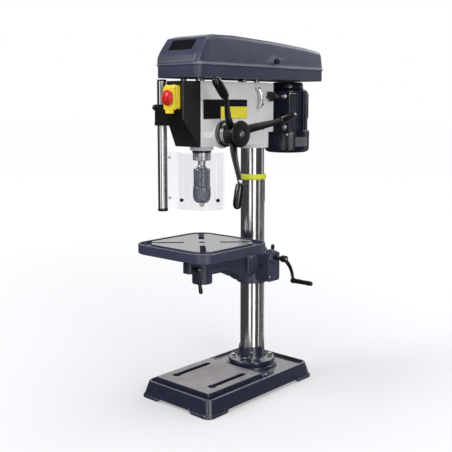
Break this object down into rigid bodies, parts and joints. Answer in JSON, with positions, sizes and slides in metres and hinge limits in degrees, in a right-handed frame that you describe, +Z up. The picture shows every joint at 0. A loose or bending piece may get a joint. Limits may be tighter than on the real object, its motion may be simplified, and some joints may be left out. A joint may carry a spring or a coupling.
{
  "type": "drill press",
  "caption": "Bench drill press: slotted base, column with a rack, raised and tilting square table, quill head with three feed handles, clear chuck guard, belt housing and motor.",
  "frame": {"origin": "centre of the footprint of the whole machine, at the level of the bench top", "axes": "+Z up along the column, -Y towards the operator, +X the side of the feed handles and the table crank"},
  "size_m": [0.3488, 0.6455, 1.07],
  "materials": {
    "base_paint": "dark blue-black paint on cast iron, semi-gloss",
    "housing_paint": "blue-grey hammer-finish paint on castings and pressed steel",
    "head_paint": "light grey paint on a casting, semi-gloss",
    "motor_paint": "navy-black gloss paint",
    "black_plastic": "black moulded plastic, satin",
    "column_chrome": "bright drawn steel",
    "bright_steel": "machined steel",
    "pulley_aluminium": "turned aluminium",
    "dark_steel": "dark machined steel",
    "yellow_plastic": "yellow moulded plastic",
    "red_plastic": "red moulded plastic",
    "green_plastic": "green moulded plastic",
    "ring_yellow": "yellow-green plastic ring",
    "clear_plastic": "clear sheet plastic",
    "belt_rubber": "black rubber"
  },
  "bodies": {
    "base": {"base": "base_paint", "column_flange": "base_paint", "column_tube": "column_chrome", "rack_ring": "ring_yellow", "head_casting": "head_paint", "front_cover": "black_plastic", "switch_box": "yellow_plastic", "post_bracket": "black_plastic", "spring_housing": "dark_steel", "belt_tray": "housing_paint", "front_belt": "belt_rubber", "rear_belt": "belt_rubber"},
    "rack": {"column_rack": "bright_steel"},
    "bracket": {"table_bracket": "housing_paint", "tilt_bolt": "dark_steel"},
    "lift_gear": {"lift_gear": "dark_steel"},
    "crank": {"worm_shaft": "dark_steel", "crank_arm": "black_plastic"},
    "crank_grip": {"crank_grip": "black_plastic"},
    "bracket_lock": {"bracket_clamp_lever": "black_plastic"},
    "arm": {"table_arm": "housing_paint"},
    "table": {"table": "housing_paint"},
    "table_lock": {"table_clamp_lever": "black_plastic"},
    "quill": {"quill": "bright_steel", "quill_bearing": "dark_steel"},
    "spindle": {"spindle": "bright_steel", "chuck_body": "dark_steel"},
    "chuck_sleeve": {"chuck_sleeve": "dark_steel"},
    "chuck_jaw_1": {"chuck_jaw_1": "bright_steel"},
    "chuck_jaw_2": {"chuck_jaw_2": "bright_steel"},
    "chuck_jaw_3": {"chuck_jaw_3": "bright_steel"},
    "feed": {"feed_shaft": "bright_steel", "feed_hub": "black_plastic", "feed_arm_1": "black_plastic", "feed_arm_2": "black_plastic", "feed_arm_3": "black_plastic", "feed_grip_1": "black_plastic", "feed_grip_2": "black_plastic", "feed_grip_3": "black_plastic"},
    "dial": {"depth_dial": "bright_steel"},
    "post": {"guard_post": "column_chrome", "post_foot": "black_plastic"},
    "guard": {"guard_shield": "clear_plastic"},
    "extension": {"guard_extension": "clear_plastic"},
    "post_lock": {"post_lock_knob": "black_plastic"},
    "flap": {"switch_flap": "yellow_plastic"},
    "stop_knob": {"stop_knob": "red_plastic"},
    "start_button": {"start_button": "green_plastic"},
    "stop_button": {"stop_button": "red_plastic"},
    "lid": {"belt_lid": "housing_paint"},
    "lid_knob": {"lid_knob": "black_plastic"},
    "spindle_pulley": {"spindle_pulley": "pulley_aluminium"},
    "idler": {"idler_pulley": "pulley_aluminium"},
    "motor_mount": {"motor_mount": "motor_paint", "motor_body": "motor_paint", "fan_cover": "motor_paint"},
    "motor": {"motor_shaft": "bright_steel", "motor_pulley": "pulley_aluminium"},
    "tension": {"tension_lever": "column_chrome"},
    "slide_lock": {"slide_lock_knob": "black_plastic"}
  },
  "joints": [
    {"name": "rack_swing", "type": "hinge", "parent": "base", "child": "rack", "pos_m": [-0.0259, 0.0548, 0.114], "axis": [0, 0, 1], "range_deg": [-180, 180]},
    {"name": "table_lift", "type": "slide", "parent": "rack", "child": "bracket", "axis": [0, 0, -1], "range_m": [-0.085, 0.2]},
    {"name": "crank_turn", "type": "hinge", "parent": "bracket", "child": "crank", "pos_m": [0.1021, 0.0548, 0.405], "axis": [1, 0, 0], "range_deg": [-6088.68, 14324.94]},
    {"name": "lift_gear_turn", "type": "hinge", "parent": "bracket", "child": "lift_gear", "pos_m": [0.0347, 0.0548, 0.378], "axis": [0, 1, 0], "range_deg": [-305.38, 717.2]},
    {"name": "crank_grip_turn", "type": "hinge", "parent": "crank", "child": "crank_grip", "pos_m": [0.1321, 0.1023, 0.3295], "axis": [1, 0, 0], "continuous": true},
    {"name": "bracket_lock_turn", "type": "hinge", "parent": "bracket", "child": "bracket_lock", "pos_m": [0.0041, 0.1188, 0.372], "axis": [-1, 0, 0], "range_deg": [0, 110]},
    {"name": "table_tilt", "type": "hinge", "parent": "bracket", "child": "arm", "pos_m": [-0.0259, -0.005, 0.385], "axis": [0, 1, 0], "range_deg": [-45, 45]},
    {"name": "table_spin", "type": "hinge", "parent": "arm", "child": "table", "pos_m": [-0.0259, -0.1742, 0.443], "axis": [0, 0, 1], "continuous": true},
    {"name": "table_lock_turn", "type": "hinge", "parent": "arm", "child": "table_lock", "pos_m": [0.0081, -0.2282, 0.403], "axis": [-1, 0, 0], "range_deg": [0, 95]},
    {"name": "quill_feed", "type": "slide", "parent": "base", "child": "quill", "axis": [0, 0, -1], "range_m": [0, 0.075]},
    {"name": "feed_turn", "type": "hinge", "parent": "base", "child": "feed", "pos_m": [0.0241, -0.1392, 0.792], "axis": [1, 0, 0], "range_deg": [0, 343.75], "stiffness_Nm_per_rad": 0.25, "springref_deg": -171.89},
    {"name": "dial_turn", "type": "hinge", "parent": "base", "child": "dial", "pos_m": [0.0301, -0.1392, 0.792], "axis": [1, 0, 0], "range_deg": [-170, 170]},
    {"name": "spindle_spin", "type": "hinge", "parent": "quill", "child": "spindle", "pos_m": [-0.0259, -0.1742, 0.6907], "axis": [0, 0, 1], "continuous": true},
    {"name": "chuck_sleeve_turn", "type": "hinge", "parent": "spindle", "child": "chuck_sleeve", "pos_m": [-0.0259, -0.1742, 0.637], "axis": [0, 0, 1], "range_deg": [0, 4296.68]},
    {"name": "jaw_1_slide", "type": "slide", "parent": "spindle", "child": "chuck_jaw_1", "axis": [0, 0.1736, 0.9848], "range_m": [0, 0.03]},
    {"name": "jaw_2_slide", "type": "slide", "parent": "spindle", "child": "chuck_jaw_2", "axis": [-0.1504, -0.0868, 0.9848], "range_m": [0, 0.03]},
    {"name": "jaw_3_slide", "type": "slide", "parent": "spindle", "child": "chuck_jaw_3", "axis": [0.1504, -0.0868, 0.9848], "range_m": [0, 0.03]},
    {"name": "post_height", "type": "slide", "parent": "base", "child": "post", "axis": [0, 0, -1], "range_m": [0, 0.09]},
    {"name": "guard_swing", "type": "hinge", "parent": "post", "child": "guard", "pos_m": [-0.1159, -0.2452, 0.575], "axis": [0, 0, -1], "range_deg": [0, 100]},
    {"name": "extension_slide", "type": "slide", "parent": "guard", "child": "extension", "axis": [0, 0, -1], "range_m": [0, 0.098]},
    {"name": "post_lock_turn", "type": "hinge", "parent": "base", "child": "post_lock", "pos_m": [-0.1379, -0.2452, 0.866], "axis": [1, 0, 0], "range_deg": [0, 360]},
    {"name": "flap_turn", "type": "hinge", "parent": "base", "child": "flap", "pos_m": [-0.0259, -0.2982, 0.9275], "axis": [-1, 0, 0], "range_deg": [0, 110]},
    {"name": "stop_knob_press", "type": "slide", "parent": "flap", "child": "stop_knob", "axis": [0, 1, 0], "range_m": [0, 0.0032], "stiffness_N_per_m": 400, "springref_m": -0.004},
    {"name": "start_button_press", "type": "slide", "parent": "base", "child": "start_button", "axis": [0, 1, 0], "range_m": [0, 0.003], "stiffness_N_per_m": 400, "springref_m": -0.003},
    {"name": "stop_button_press", "type": "slide", "parent": "base", "child": "stop_button", "axis": [0, 1, 0], "range_m": [0, 0.003], "stiffness_N_per_m": 400, "springref_m": -0.003},
    {"name": "lid_turn", "type": "hinge", "parent": "base", "child": "lid", "pos_m": [-0.1169, 0.0548, 0.987], "axis": [0, -1, 0], "range_deg": [0, 100]},
    {"name": "lid_knob_turn", "type": "hinge", "parent": "lid", "child": "lid_knob", "pos_m": [0.0611, 0.0588, 1.004], "axis": [1, 0, 0], "range_deg": [0, 90]},
    {"name": "motor_spin", "type": "hinge", "parent": "motor_mount", "child": "motor", "pos_m": [-0.0259, 0.2298, 0.916], "axis": [0, 0, 1], "continuous": true},
    {"name": "idler_spin", "type": "hinge", "parent": "base", "child": "idler", "pos_m": [-0.0259, 0.0148, 0.957], "axis": [0, 0, 1], "continuous": true},
    {"name": "spindle_pulley_spin", "type": "hinge", "parent": "base", "child": "spindle_pulley", "pos_m": [-0.0259, -0.1742, 0.957], "axis": [0, 0, 1], "continuous": true},
    {"name": "motor_slide", "type": "slide", "parent": "base", "child": "motor_mount", "axis": [0, 1, 0], "range_m": [-0.012, 0]},
    {"name": "tension_turn", "type": "hinge", "parent": "base", "child": "tension", "pos_m": [0.0241, 0.0118, 0.92], "axis": [1, 0, 0], "range_deg": [-59.8, 0]},
    {"name": "slide_lock_turn", "type": "hinge", "parent": "base", "child": "slide_lock", "pos_m": [0.0241, 0.0688, 0.9], "axis": [1, 0, 0], "range_deg": [0, 360]}
  ],
  "couplings": [
    {"joint": "crank_turn", "follows": "table_lift", "rad_per_m": 1250},
    {"joint": "lift_gear_turn", "follows": "table_lift", "rad_per_m": 62.5},
    {"joint": "quill_feed", "follows": "feed_turn", "m_per_rad": 0.0125},
    {"joint": "idler_spin", "follows": "motor_spin", "ratio": 0.77907},
    {"joint": "spindle_pulley_spin", "follows": "motor_spin", "ratio": 0.60695},
    {"joint": "spindle_spin", "follows": "motor_spin", "ratio": 0.60695},
    {"joint": "jaw_1_slide", "follows": "chuck_sleeve_turn", "m_per_rad": 0.0004},
    {"joint": "jaw_2_slide", "follows": "chuck_sleeve_turn", "m_per_rad": 0.0004},
    {"joint": "jaw_3_slide", "follows": "chuck_sleeve_turn", "m_per_rad": 0.0004},
    {"joint": "tension_turn", "follows": "motor_slide", "rad_per_m": 86.957}
  ]
}
